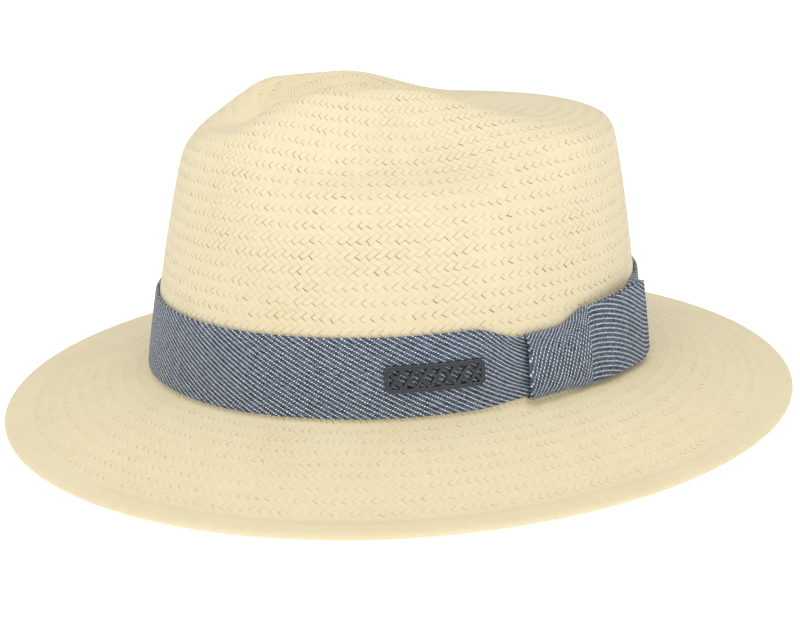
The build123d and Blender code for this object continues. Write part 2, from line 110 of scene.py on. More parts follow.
def node(tree, kind, *inputs, out=0, named=None, **settings):
    """Adds one node and returns one of its outputs.

    Numbers and links go to its inputs in order or by name, and settings to its own fields.
    A second word in kind is the node's operation."""
    kind, _, operation = kind.partition(" ")
    new = tree.nodes.new("ShaderNode" + kind)
    if operation:
        new.operation = operation
    for key, value in settings.items():
        setattr(new, key, value)
    by_name = [(new.inputs[key], value) for key, value in (named or {}).items()]
    for socket, value in [*zip(new.inputs, inputs), *by_name]:
        if isinstance(value, bpy.types.NodeSocket):
            tree.links.new(value, socket)
        elif value is not None:
            socket.default_value = value
    return new.outputs[out]


# painted board: matt and white, lit a little by itself so that it stays as pale as the air round it
table_paint, _, table_shader = paint("white_table_top")
table_shader.inputs["Base Color"].default_value = colour("#D8D8D8")
table_shader.inputs["Roughness"].default_value = 0.9
table_shader.inputs["Specular IOR Level"].default_value = 0.1
table_shader.inputs["Emission Color"].default_value = colour("#FFFFFF")
table_shader.inputs["Emission Strength"].default_value = 0.66

TABLE = 30.0                       # half its side, in metres, so that no edge shows
table_mesh = bpy.data.meshes.new("table")
table_mesh.from_pydata([(-TABLE, -TABLE, 0), (TABLE, -TABLE, 0), (TABLE, TABLE, 0),
                        (-TABLE, TABLE, 0)], [], [(0, 1, 2, 3)])
table = bpy.data.objects.new("table", table_mesh)
table.data.materials.append(table_paint)
bpy.context.collection.objects.link(table)

# ---------------------------------------------------------------- crown
# The crown of the one-piece straw body: strips of paper straw woven over two, under two,
# and pressed on a block with a crease along the top and a dent each side of the front.

MM = 0.001
HEAD_LENGTH, HEAD_WIDTH = 206.0, 168.0
BRIM_FRONT, BRIM_SIDE, BRIM_BACK = 58.0, 58.0, 65.0
HEAD_SHIFT = (BRIM_FRONT - BRIM_BACK) / 2      # the head oval sits forward of the brim's middle
BREAK_HEIGHT, BREAK_LEG = 16.5, 4.5
STRAW, HEM, HEM_WIDTH = 1.2, 3.0, 8.0
CROWN_TOP, FRONT_TOP, BACK_TOP, VALLEY = 109.0, 95.5, 95.0, 98.0
LEAN_FRONT, LEAN_SIDE, LEAN_BACK = 16.5, 15.0, 12.5
CREASE_FRONT, CREASE_BACK, CREASE_HALF = 52.0, 42.0, 5.0
RIDGE_HALF, NOSE_HALF = 28.5, 9.0
SHOULDER, DENT_FLOOR, DENT_PLACE, BACK_ROUND = 72.0, 84.0, 0.45, 13.0
PINCH_START, PINCH_FULL, PINCH_FADE, PINCH_END = 0.0, 55.0, 80.0, 130.0
JOIN_HEIGHT = 30.0            # crown and brim pieces meet here, under the band
COLUMNS = 420                 # columns of faces round the hat
WALL_START, WALL_END = 0.1, 0.55      # the part of every meridian that holds the upright wall
TURN_STEP, U_STEP = 0.05, 0.0005      # steps for measuring the straw's slopes


def ease(value, start, end):
    """Smooth step 3s^2 - 2s^3 from 0 at start to 1 at end."""
    s = np.clip((value - start) / (end - start), 0.0, 1.0)
    return s * s * (3.0 - 2.0 * s)


def mix(a, b, s):
    """The value a share s of the way from a to b."""
    return a + (b - a) * s


def oval(turn):
    """Head oval: half width times sine, minus half length times cosine of the turn."""
    t = np.radians(turn)
    return HEAD_WIDTH / 2 * np.sin(t), HEAD_SHIFT - HEAD_LENGTH / 2 * np.cos(t)


def oval_normal(turn):
    """Unit outward normal of the head oval, from its slope."""
    t = np.radians(turn)
    nx, ny = HEAD_LENGTH * np.sin(t), -HEAD_WIDTH * np.cos(t)
    n = np.hypot(nx, ny)
    return nx / n, ny / n


def crease_point(turn):
    """Rim of the crease's narrow floor: a long thin oval about the middle plane."""
    t = np.radians(turn)
    along = mix(-CREASE_FRONT, CREASE_BACK, (1 - np.cos(t)) / 2)
    return CREASE_HALF * np.sin(t), HEAD_SHIFT + along


def brim_width(turn):
    """Side width, moving to the front or back width with the squared cosine of the turn."""
    c = np.cos(np.radians(turn))
    return mix(BRIM_SIDE, mix(BRIM_FRONT, BRIM_BACK, (1 - c) / 2), c ** 2)


def meridian(turn):
    """Control points (inward, height) of the lines from brim edge to crease.

    Nose, dent and back outlines are mixed by smooth steps of the turn away from the front."""
    away = 180.0 - np.abs(180.0 - np.mod(turn, 360.0))
    px, py = oval(away)
    cx, cy = crease_point(away)
    span = np.hypot(px - cx, py - cy)
    width = brim_width(away)
    level = 0 * span
    front = 1 - ease(away, PINCH_START, PINCH_FULL)
    back = ease(away, PINCH_FADE, PINCH_END)
    side = 1 - front - back
    ridge = RIDGE_HALF - CREASE_HALF
    run = span - ridge - LEAN_SIDE
    mid = LEAN_BACK + BACK_ROUND
    rest = span - mid
    nose = [(0.25 * LEAN_FRONT, 0.28 * FRONT_TOP), (0.55 * LEAN_FRONT, 0.55 * FRONT_TOP),
            (0.85 * LEAN_FRONT, 0.8 * FRONT_TOP), (1.05 * LEAN_FRONT, 0.93 * FRONT_TOP),
            (1.35 * LEAN_FRONT, 0.985 * FRONT_TOP), (1.6 * LEAN_FRONT, FRONT_TOP),
            (span - NOSE_HALF, FRONT_TOP), (span - 0.6 * NOSE_HALF, mix(FRONT_TOP, VALLEY, 0.4)),
            (span - 0.25 * NOSE_HALF, VALLEY), (span, VALLEY)]
    dent = [(0.2 * LEAN_SIDE, 0.35 * SHOULDER), (0.5 * LEAN_SIDE, 0.72 * SHOULDER),
            (LEAN_SIDE, SHOULDER), (LEAN_SIDE + 0.16 * run, mix(SHOULDER, DENT_FLOOR, 0.65)),
            (LEAN_SIDE + DENT_PLACE * run, DENT_FLOOR),
            (span - ridge - 10, mix(DENT_FLOOR, CROWN_TOP, 0.55)),
            (span - ridge - 1, CROWN_TOP + 2), (span - ridge + 7, CROWN_TOP),
            (span - 0.25 * ridge, VALLEY), (span, VALLEY)]
    plain = [(0.25 * LEAN_BACK, 0.28 * BACK_TOP), (0.55 * LEAN_BACK, 0.55 * BACK_TOP),
             (0.85 * LEAN_BACK, 0.78 * BACK_TOP), (LEAN_BACK, BACK_TOP - BACK_ROUND),
             (LEAN_BACK + 0.15 * BACK_ROUND, BACK_TOP - 0.25 * BACK_ROUND),
             (LEAN_BACK + 0.9 * BACK_ROUND, BACK_TOP),
             (mid + 0.25 * rest, mix(BACK_TOP, VALLEY, 0.25) + 0.5),
             (mid + 0.5 * rest, mix(BACK_TOP, VALLEY, 0.5) + 0.5),
             (mid + 0.8 * rest, VALLEY), (span, VALLEY)]
    hem_top = (HEM + STRAW) / 2
    points = [(-width, hem_top), (HEM_WIDTH - width, hem_top),
              (-0.62 * width, mix(hem_top, BREAK_HEIGHT, 0.38)),
              (-0.32 * width, mix(hem_top, BREAK_HEIGHT, 0.72)),
              (-BREAK_LEG, BREAK_HEIGHT - 0.12 * BREAK_LEG), (0.0, BREAK_HEIGHT),
              (0.0, BREAK_HEIGHT + BREAK_LEG)]
    for a, b, c in zip(nose, dent, plain):
        inward = np.minimum(front * a[0] + side * b[0] + back * c[0], span)
        points.append((inward, BREAK_HEIGHT + front * a[1] + side * b[1] + back * c[1]))
    return np.array([[level + p[0], level + p[1]] for p in points])


def blend_curve(points, u):
    """Clamped even cubic B-spline by de Boor's steps; points is (count, 2, ...), u matches."""
    count = len(points)
    spans = count - 3
    place = np.clip(u, 0.0, 1.0) * spans
    k = np.minimum(place.astype(int), spans - 1)
    knots = np.clip(np.arange(count + 4) - 3, 0, spans).astype(float)
    work = [np.take_along_axis(points, (k + j)[None, None], 0)[0] for j in range(4)]
    for level in range(1, 4):
        for j in range(3, level - 1, -1):
            low, high = knots[k + j], knots[k + j + 4 - level]
            s = (place - low) / (high - low)
            work[j] = mix(work[j - 1], work[j], s)
    return work[3]


def in_plan(turn, inward):
    """Plan point this far inward of the oval towards the crease; negative is out over the brim."""
    px, py = oval(turn)
    nx, ny = oval_normal(turn)
    cx, cy = crease_point(turn)
    s = np.maximum(inward, 0) / np.hypot(px - cx, py - cy)
    out = np.maximum(-inward, 0)
    return mix(px, cx, s) + nx * out, mix(py, cy, s) + ny * out


def straw_face(turn, u):
    """Outer straw face in mm: the meridian's point, carried round by the plan."""
    inward, height = blend_curve(meridian(turn), u)
    x, y = in_plan(turn, inward)
    return np.stack([x, y, height], -1)


def straw_normal(turn, u):
    """Outward unit normal: the cross product of the slopes round and up the straw."""
    above, below = np.minimum(u + U_STEP, 1), np.maximum(u - U_STEP, 0)
    up = straw_face(turn, above) - straw_face(turn, below)
    across = straw_face(turn + TURN_STEP, u) - straw_face(turn - TURN_STEP, u)
    n = np.cross(across, up)
    return n / np.maximum(np.linalg.norm(n, axis=-1, keepdims=True), 1e-9)


def rise_to(turn, height):
    """The u at which each meridian reaches this height on the wall, by halving."""
    points = meridian(turn)
    low, high = np.full(turn.shape, WALL_START), np.full(turn.shape, WALL_END)
    for _ in range(30):
        middle = (low + high) / 2
        below = blend_curve(points, middle)[1] < height
        low, high = np.where(below, middle, low), np.where(below, high, middle)
    return low


def lay_faces(name, grid, uv, fields=None, closed=True):
    """Mesh of a grid of points (rows, columns, 3): one quad between each four neighbours.

    uv is (rows, columns + 1, 2) on a closed ring, so that the seam keeps its own values."""
    rows, columns = grid.shape[:2]
    wraps = columns if closed else columns - 1
    r, c = np.meshgrid(np.arange(rows - 1), np.arange(wraps), indexing="ij")
    corners = [(r, c), (r, c + 1), (r + 1, c + 1), (r + 1, c)]
    faces = np.stack([a * columns + b % columns for a, b in corners], -1).reshape(-1, 4)
    mesh = bpy.data.meshes.new(name)
    mesh.from_pydata((grid.reshape(-1, 3) * MM).tolist(), [], faces.tolist())
    layer = mesh.uv_layers.new(name="weave")
    spots = np.stack([uv[a, b] for a, b in corners], -2).reshape(-1, 2)
    layer.data.foreach_set("uv", spots.astype(np.float32).ravel())
    for key, values in (fields or {}).items():
        field = mesh.attributes.new(key, "FLOAT", "POINT")
        field.data.foreach_set("value", values.astype(np.float32).ravel())
    mesh.polygons.foreach_set("use_smooth", np.ones(len(mesh.polygons), bool))
    return mesh


def set_down(mesh, material):
    """Merges doubled points, turns the faces outward and puts the piece on the hat's body."""
    work = bmesh.new()
    work.from_mesh(mesh)
    bmesh.ops.remove_doubles(work, verts=work.verts, dist=2e-6)
    bmesh.ops.dissolve_degenerate(work, edges=work.edges, dist=1e-7)
    bmesh.ops.recalc_face_normals(work, faces=work.faces)
    work.to_mesh(mesh)
    work.free()
    piece = bpy.data.objects.new(mesh.name, mesh)
    bpy.context.collection.objects.link(piece)
    piece.data.materials.append(material)
    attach(piece, "root")
    return piece


CHEVRONS_ROUND_CROWN = 168         # chevrons in one course round the crown
COURSE = 5.4                       # mm from one course to the next
CREASE_SAG = 0.9                   # mm the crease's floor sags at its middle
OUTER_ROWS, INNER_ROWS, FLOOR_ROWS = 112, 60, 7
CROWDED, CLEAR = 0.28, 0.55        # weave closes where columns crowd to these shares of the foot's

turns = np.arange(COLUMNS) * 360.0 / COLUMNS


def climb(start, rows):
    """Rows of (turn, u) from u = start(turn) to the crease rim."""
    s = np.linspace(0, 1, rows)[:, None]
    return np.broadcast_to(turns, (rows, COLUMNS)), mix(start, 1.0, s)


def path_lengths(grid):
    """Running distance along each column of a grid of points."""
    steps = np.linalg.norm(np.diff(grid, axis=0), axis=-1)
    return np.concatenate([np.zeros((1, grid.shape[1])), np.cumsum(steps, 0)])


def seam_copy(values):
    """Repeats the first column at the end, for the corners beyond the seam."""
    return np.concatenate([values, values[:, :1]], 1)


def crown_floor(depth, rows):
    """Level floor of the crease: its rim drawn in to the middle line, sagging a little."""
    s = np.linspace(0, 1, rows)[1:, None]
    x, y = crease_point(turns)
    sag = CREASE_SAG * (1 - (1 - s) ** 2) * np.sin(np.radians(turns)) ** 2
    return np.stack([x * (1 - s), y + 0 * s, BREAK_HEIGHT + VALLEY - depth - sag + 0 * x], -1)


join = rise_to(turns, JOIN_HEIGHT)
turn_grid, u_grid = climb(join, OUTER_ROWS)
outer_crown = straw_face(turn_grid, u_grid)
outer_normal = straw_normal(turn_grid, u_grid)
outer_normal[-1] = (0, 0, 1)
inner_pick = np.linspace(0, OUTER_ROWS - 1, INNER_ROWS).round().astype(int)
inner_crown = (outer_crown - STRAW * outer_normal)[inner_pick]
crown_grid = np.concatenate([crown_floor(0, FLOOR_ROWS)[::-1], outer_crown[::-1],
                             inner_crown, crown_floor(STRAW, FLOOR_ROWS)])
up_outer = path_lengths(outer_crown) / COURSE + JOIN_HEIGHT / COURSE
floor_up = np.repeat(up_outer[-1:], FLOOR_ROWS - 1, 0)
courses = np.concatenate([floor_up, up_outer[::-1], up_outer[inner_pick], floor_up])
rounds = np.arange(COLUMNS + 1) / COLUMNS * CHEVRONS_ROUND_CROWN + 0 * courses[:, :1]
crown_uv = np.stack([rounds, seam_copy(courses)], -1)
spread = np.linalg.norm(np.roll(outer_crown, -1, 1) - outer_crown, axis=-1)
openness = ease(spread / spread[0].mean(), CROWDED, CLEAR)
floor_open = np.repeat(openness[-1:], FLOOR_ROWS - 1, 0)
openness = np.concatenate([floor_open, openness[::-1], openness[inner_pick], floor_open])


TO_COLOURS = [None] * 5            # a Mix node's sockets between its share and its two colours


def straw_paint(name, light, shade, slit_shade, open_slits):
    """Paper straw woven over two, under two, from the piece's own weave map.

    The map's first number counts chevrons round the hat, the second courses up it. They are
    turned into the two strands' own counts; each float is a low ridge, and the slits where it
    ends under the next are darkened as painted shade."""
    material, tree, shader = paint(name)
    where = node(tree, "UVMap", uv_map="weave")
    round_count, course_count = node(tree, "SeparateXYZ", where).node.outputs[:2]
    wander = node(tree, "TexNoise", where, None, 0.55, 2.0, out=0, noise_dimensions="2D")
    wobble = node(tree, "Math MULTIPLY", node(tree, "Math SUBTRACT", wander, 0.5), 0.5)
    chevron = node(tree, "Math SUBTRACT", round_count,
                   node(tree, "Math MULTIPLY", course_count, 0.2))
    chevron = node(tree, "Math ADD", chevron, wobble)
    course = node(tree, "Math ADD", course_count, node(tree, "Math MULTIPLY", wobble, 0.6))
    rising = node(tree, "Math ADD", chevron, node(tree, "Math MULTIPLY", course, 2.0))
    falling = node(tree, "Math SUBTRACT", chevron, node(tree, "Math MULTIPLY", course, 2.0))
    rising_cell = node(tree, "Math FLOOR", rising)
    falling_cell = node(tree, "Math FLOOR", falling)
    rising_edge = node(tree, "Math ROUND", rising)
    falling_edge = node(tree, "Math ROUND", falling)
    faded = node(tree, "Attribute", attribute_name="open", attribute_type="GEOMETRY", out=2)
    tight = node(tree, "TexNoise", where, None, 0.11, 2.0, out=0, noise_dimensions="2D")
    lattice = node(tree, "MapRange", tight, 0.46, 0.64, 0.12, 0.9)

    def slits(place, line, first_count, second_count, weights):
        """Painted shade in the slits at the edges nearest place.

        Weights are for the owner cell's count difference.
        """
        order = node(tree, "Math FLOORED_MODULO",
                     node(tree, "Math SUBTRACT", first_count, second_count), 4.0)
        strengths = []
        for which, weight in weights:
            strengths.append(node(tree, "Math MULTIPLY",
                                  node(tree, "Math COMPARE", order, float(which), 0.1), weight))
        first, *others = strengths
        rest = node(tree, "Math MULTIPLY", node(tree, "Math ADD", *others), lattice)
        owner = node(tree, "CombineXYZ", first_count, second_count, weights[0][1])
        chance = node(tree, "TexWhiteNoise", owner, out=0, noise_dimensions="3D")
        away = node(tree, "Math ABSOLUTE", node(tree, "Math SUBTRACT", place, line))
        edge = node(tree, "MapRange", away, 0.035, 0.125, 1.0, 0.0, interpolation_type="SMOOTHSTEP")
        gaps = node(tree, "Math MULTIPLY",
                    node(tree, "Math MULTIPLY", edge, node(tree, "Math ADD", first, rest)),
                    node(tree, "Math ADD",
                         node(tree, "Math MULTIPLY", node(tree, "Math POWER", chance, 1.5), 0.65),
                         0.4))
        return gaps, away

    fall, fall_away = slits(rising, rising_edge, rising_edge, falling_cell,
                            [(0, 1.0), (2, 0.42), (3, 0.3)])
    rise, rise_away = slits(falling, falling_edge, rising_cell, falling_edge,
                            [(0, 0.62), (1, 0.3), (3, 0.42)])
    patches = node(tree, "TexNoise", where, None, 0.32, 3.0, out=0, noise_dimensions="2D")
    loose = node(tree, "MapRange", patches, 0.36, 0.62, 0.6, 1.0)
    # painted shade: this mask of the slits darkens the straw's colour and also dips its bump
    dark = node(tree, "Math MULTIPLY", node(tree, "Math MAXIMUM", fall, rise),
                node(tree, "Math MULTIPLY", loose, node(tree, "Math MULTIPLY", faded, open_slits)))
    # strand colour: warm cream, each float a little different, with fine fibres along it
    over = node(tree, "Math LESS_THAN",
                node(tree, "Math FLOORED_MODULO",
                     node(tree, "Math SUBTRACT", rising_cell, falling_cell), 4.0), 1.5)
    strand = node(tree, "CombineXYZ", rising_cell, falling_cell, over)
    chance = node(tree, "TexWhiteNoise", strand, out=0, noise_dimensions="3D")
    tone = node(tree, "TexNoise", where, None, 0.12, 2.0, out=0, noise_dimensions="2D")
    toned = node(tree, "Math ADD", node(tree, "Math MULTIPLY", tone, 0.6),
                 node(tree, "Math MULTIPLY", chance, 0.3))
    straw = node(tree, "Mix", node(tree, "Math MULTIPLY", toned, 0.8), *TO_COLOURS, colour(light),
                 colour(shade), out=2, data_type="RGBA")
    # painted shade: the slit colour is laid in where the strands dive under each other
    slit_shaded = node(tree, "Mix", node(tree, "Math MINIMUM", dark, 1.0), *TO_COLOURS, straw,
                   colour(slit_shade), out=2, data_type="RGBA")
    tree.links.new(slit_shaded, shader.inputs["Base Color"])
    # the strand on top is low at its own sides, and dips where it goes under the next
    own_side = node(tree, "Mix", over, None, fall_away, rise_away, data_type="FLOAT")
    dome = node(tree, "MapRange", own_side, 0.0, 0.3, 0.0, 1.0, interpolation_type="SMOOTHSTEP")
    fibre = node(tree, "TexNoise", where, None, 9.0, 4.0, out=0, noise_dimensions="2D")
    height = node(tree, "Math MULTIPLY",
                  node(tree, "Math SUBTRACT", dome, node(tree, "Math MULTIPLY", dark, 1.2)), faded)
    lump = node(tree, "Math ADD",
                node(tree, "Math MULTIPLY", height,
                     node(tree, "Math ADD", node(tree, "Math MULTIPLY", chance, 0.5), 0.3)),
                node(tree, "Math MULTIPLY", fibre, 0.25))
    raised = node(tree, "Bump", named={"Strength": 0.32, "Distance": 0.00022, "Height": lump})
    tree.links.new(raised, shader.inputs["Normal"])
    shader.inputs["Roughness"].default_value = 0.62
    shader.inputs["Specular IOR Level"].default_value = 0.32
    shader.inputs["Sheen Weight"].default_value = 0.12
    shader.inputs["Sheen Roughness"].default_value = 0.5
    return material


# the third colour is the painted shade in the weave's slits
crown_paint = straw_paint("woven_paper_straw_crown", "#F5E8C6", "#E9DAB0", "#8F7A4E", 1.0)
crown = set_down(lay_faces("straw_crown", crown_grid, crown_uv, {"open": openness}),
                 crown_paint)
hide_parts("straw_body")

# ---------------------------------------------------------------- brim
# The brim of the same straw body, woven outward from the break. Its edge is turned under
# round a spring wire and pressed flat, so the last 8 mm are smooth and double.

CHEVRONS_ROUND_BRIM = 262
BRIM_COURSE = 6.0
SKIN_ROWS, ROLL_ROWS = 78, 8
SKIN_END = 0.012              # both skins stop here, just inside the edge, for its rounding
CLOSED_TO, OPEN_FROM = 4.0, 9.0        # mm in from the edge: no slits in the hem, all beyond it


def straw_thickness(turn, inward):
    """The straw's thickness and how far its top face is raised, both eased up over the hem."""
    hem = ease(inward + brim_width(turn), HEM_WIDTH * 1.15, HEM_WIDTH * 0.85)
    return mix(STRAW, HEM, hem), hem * (HEM - STRAW) / 2


def brim_skin(depth, rows):
    """Brim and lower wall from the join down and out; depth 0 is the top face, 1 the underside."""
    s = np.linspace(0, 1, rows)[:, None]
    u = mix(join, SKIN_END, s ** 0.9)
    turn = np.broadcast_to(turns, u.shape)
    inward = blend_curve(meridian(turn), u)[0]
    thick, lift = straw_thickness(turn, inward)
    return straw_face(turn, u) + straw_normal(turn, u) * (lift - thick * depth)[..., None]


top_skin, under_skin = brim_skin(0, SKIN_ROWS), brim_skin(1, SKIN_ROWS)
# rounded edge: half an ellipse from the top skin's last point round to the underside's
edge_middle = (top_skin[-1] + under_skin[-1]) / 2
half_thick = (top_skin[-1] - under_skin[-1]) / 2
nx, ny = oval_normal(turns)
outward = np.stack([nx, ny, 0 * nx], -1)
reach = brim_width(turns) - np.abs(np.linalg.norm(
    edge_middle[:, :2] - np.stack(oval(turns), -1), axis=-1))
roll = np.radians(np.linspace(90, -90, ROLL_ROWS + 2)[1:-1])[:, None, None]
edge_roll = edge_middle + half_thick * np.sin(roll) + outward * (reach[:, None] * np.cos(roll))
brim_grid = np.concatenate([top_skin, edge_roll, under_skin[::-1], top_skin[:1]])
out_top = path_lengths(top_skin) / BRIM_COURSE
roll_out = np.repeat(out_top[-1:], ROLL_ROWS, 0)
outs = np.concatenate([out_top, roll_out, out_top[::-1], out_top[:1]])
brim_rounds = np.arange(COLUMNS + 1) / COLUMNS * CHEVRONS_ROUND_BRIM + 0 * outs[:, :1]
brim_uv = np.stack([brim_rounds, seam_copy(-outs)], -1)
edge_distance = (out_top[-1] - out_top) * BRIM_COURSE
brim_open = ease(edge_distance, CLOSED_TO, OPEN_FROM)
brim_open = brim_open * mix(0.75, 1.0, ease(edge_distance, 20, 50))
brim_open = np.concatenate([brim_open, 0 * roll_out, brim_open[::-1], brim_open[:1]])
# the third colour is the painted shade in the weave's slits
brim_paint = straw_paint("woven_paper_straw_brim", "#F6E9C6", "#EBDCB2", "#A28C5E", 0.75)
brim = set_down(lay_faces("straw_brim", brim_grid, brim_uv, {"open": brim_open}),
                brim_paint)
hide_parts("straw_body")

# ---------------------------------------------------------------- denim band
# A strip of 3/1 denim twill, its raw edges folded in, drawn tight round the foot of the crown
# and held by thread tacks. It gathers a little where the bow's knot grips it.

BAND_SEAT, BAND_HEIGHT, BAND_THICK = 1.9, 29.0, 1.4
SOFT_GAP = 0.3
BAND_GATHER, BAND_GATHER_LOW, GATHER_REACH = 5.0, 1.5, 11.0
KNOT_ANGLE, KNOT_SPAN = 105.75, 17.5
GATHER_ANGLE = KNOT_ANGLE - 5.0            # the knot pulls most at its front edge
BAND_LOW = BREAK_HEIGHT + BAND_SEAT
BAND_HIGH = BAND_LOW + BAND_HEIGHT
WEFT_PITCH, WARP_PITCH = 0.80, 0.45        # mm between threads, along and across the strip
HIDDEN_DIP, HIDDEN_END = 1.9, (132, 140)   # top edge lower behind the bow, up to these turns
BAND_STEP = 0.6                            # degrees from one column of the band to the next
GATHERED_THICK = 0.8


def gathered(turn):
    """1 where the knot pulls most, by a smooth step down to 0 at GATHER_REACH beyond it."""
    away = np.abs(turn - GATHER_ANGLE)
    return 1 - ease(away, KNOT_SPAN / 4, KNOT_SPAN / 4 + GATHER_REACH)


def band_edges(turn):
    """Heights of the band's lower and upper edges, drawn in at the knot."""
    return BAND_LOW + BAND_GATHER_LOW * gathered(turn), BAND_HIGH - BAND_GATHER * gathered(turn)


def on_wall(turn, height, out):
    """Points this far outside the crown's wall, in mm, at these turns and heights."""
    turn, height, out = np.broadcast_arrays(turn, height, out)
    u = rise_to(turn, height)
    inward = blend_curve(meridian(turn), u)[0]
    x, y = in_plan(turn, inward)
    nx, ny = oval_normal(turn)
    return np.stack([x + nx * out, y + ny * out, height], -1)


def rounded_steps(length, radius, count, edge=5):
    """Places from 0 to 1 with more near both ends, and a cloth's fullness there.

    Fullness is the height of a quarter circle of this radius at each end, and 1 between."""
    a = np.linspace(0, np.pi / 2, edge + 1)
    ends = radius / length * (1 - np.cos(a))
    between = np.linspace(ends[-1], 1 - ends[-1], count)
    place = np.concatenate([ends[:-1], between, 1 - ends[:-1][::-1]])
    full = np.concatenate([np.sin(a)[:-1], np.ones(count), np.sin(a)[:-1][::-1]])
    return place, full


def cloth(name, middle, thick, full, uv, ring=False):
    """Closed sheet about a middle surface: each face half the thickness times fullness away.

    The normal is the cross product of the slopes along and down the grid. The two faces meet
    where fullness falls to 0, at the sheet's edges."""
    along = np.gradient(middle, axis=1)
    if ring:
        along = (np.roll(middle, -1, 1) - np.roll(middle, 1, 1)) / 2
    normal = np.cross(along, np.gradient(middle, axis=0))
    normal /= np.maximum(np.linalg.norm(normal, axis=-1, keepdims=True), 1e-9)
    half = (thick * full / 2)[..., None] * np.ones(middle.shape[:2] + (1,))
    grid = np.concatenate([middle + normal * half, (middle - normal * half)[::-1]])
    spots = np.concatenate([uv, uv[::-1]])
    if ring:
        grid = np.concatenate([grid, grid[:1]])
        spots = np.concatenate([spots, spots[:1]])
    return lay_faces(name, grid, spots, closed=ring)


def denim_paint():
    """3/1 twill: navy warp over three wefts, so one pale weft in four shows as a short dash.

    The map is in mm. Threads are counted along and down the strip, and a dash shows where
    the difference of the two counts divides by four, which draws the diagonal lines."""
    material, tree, shader = paint("denim_twill")
    where = node(tree, "UVMap", uv_map="weave")
    along_strip, across_strip = node(tree, "SeparateXYZ", where).node.outputs[:2]
    wander = node(tree, "TexNoise", where, None, 0.22, 3.0, out=0, noise_dimensions="2D")
    wander = node(tree, "Math MULTIPLY", node(tree, "Math SUBTRACT", wander, 0.5), 1.6)
    wefts = node(tree, "Math ADD", node(tree, "Math DIVIDE", along_strip, WEFT_PITCH), wander)
    warps = node(tree, "Math SUBTRACT", node(tree, "Math MULTIPLY", wander, 0.8),
                 node(tree, "Math DIVIDE", across_strip, WARP_PITCH))
    weft_count = node(tree, "Math FLOOR", wefts)
    warp_count = node(tree, "Math FLOOR", warps)
    weft_offset = node(tree, "Math SUBTRACT", node(tree, "Math FRACT", wefts), 0.5)
    warp_offset = node(tree, "Math SUBTRACT", node(tree, "Math FRACT", warps), 0.5)
    order = node(tree, "Math FLOORED_MODULO", node(tree, "Math SUBTRACT", weft_count, warp_count),
                 4.0)
    dash = node(tree, "Math COMPARE", order, 0.0, 0.1)
    cell = node(tree, "CombineXYZ", weft_count, warp_count, 0.0)
    chance = node(tree, "TexWhiteNoise", cell, out=0, noise_dimensions="3D")
    size = node(tree, "Math ADD",
                node(tree, "Math POWER", node(tree, "Math MULTIPLY", weft_offset, 2.25), 2.0),
                node(tree, "Math POWER", node(tree, "Math MULTIPLY", warp_offset, 1.7), 2.0))
    round_dash = node(tree, "MapRange", size, 0.55, 1.25, 1.0, 0.0, interpolation_type="SMOOTHSTEP")
    pale = node(tree, "Math MULTIPLY", node(tree, "Math MULTIPLY", dash, round_dash),
                node(tree, "Math ADD", node(tree, "Math MULTIPLY", chance, 0.5), 0.65))
    stretched = node(tree, "Mapping", where, None, None, (0.35, 5.0, 1.0))
    slub = node(tree, "TexNoise", stretched, None, 0.6, 3.0, out=0, noise_dimensions="2D")
    heather = node(tree, "TexNoise", where, None, 2.6, 3.0, 0.8, out=0, noise_dimensions="2D")
    warp = node(tree, "Math ADD", node(tree, "Math MULTIPLY", heather, 0.9),
                node(tree, "Math MULTIPLY", node(tree, "Math SUBTRACT", slub, 0.5), 0.9))
    warp = node(tree, "Math ADD", node(tree, "Math MULTIPLY", warp, 0.7),
                node(tree, "Math MULTIPLY", chance, 0.3))
    warp = node(tree, "MapRange", warp, 0.25, 0.75, 0.0, 1.0)
    # painted shade: each warp thread is darkened towards its sides, where it rounds away
    thread_round = node(tree, "Math MULTIPLY", node(tree, "Math ABSOLUTE", warp_offset), 2.0)
    shaded_warp_tone = node(tree, "Math SUBTRACT", warp,
                  node(tree, "Math MULTIPLY", node(tree, "Math POWER", thread_round, 3.0), 0.35))
    navy = node(tree, "Mix", shaded_warp_tone, *TO_COLOURS, colour("#222E43"), colour("#76869D"),
                out=2, data_type="RGBA")
    woven = node(tree, "Mix", node(tree, "Math MINIMUM", pale, 1.0), *TO_COLOURS, navy,
                 colour("#EDF1F5"), out=2, data_type="RGBA")
    tree.links.new(woven, shader.inputs["Base Color"])
    lump = node(tree, "Math ADD", node(tree, "Math MULTIPLY", pale, 0.8),
                node(tree, "Math SUBTRACT", 0.3, node(tree, "Math MULTIPLY", thread_round, 0.3)))
    raised = node(tree, "Bump", named={"Strength": 0.5, "Distance": 0.00015, "Height": lump})
    tree.links.new(raised, shader.inputs["Normal"])
    shader.inputs["Roughness"].default_value = 0.85
    shader.inputs["Specular IOR Level"].default_value = 0.2
    shader.inputs["Sheen Weight"].default_value = 0.15
    return material


def length_round(grid, row):
    """Running length in mm round one row of a ring of points, closed at its end."""
    steps = np.linalg.norm(np.roll(grid[row], -1, 0) - grid[row], axis=-1)
    return np.concatenate([[0], np.cumsum(steps)])


denim = denim_paint()
band_turns = np.arange(0, 360, BAND_STEP)
rise, band_full = rounded_steps(BAND_HEIGHT, BAND_THICK / 2, 34)
rise, band_full = rise[::-1, None], band_full[::-1, None]
edge_low, edge_high = band_edges(band_turns)
pull = gathered(band_turns)
tucked = ease(band_turns, KNOT_ANGLE - 2, KNOT_ANGLE + 8) * (1 - ease(band_turns, *HIDDEN_END))
edge_high = edge_high - HIDDEN_DIP * tucked
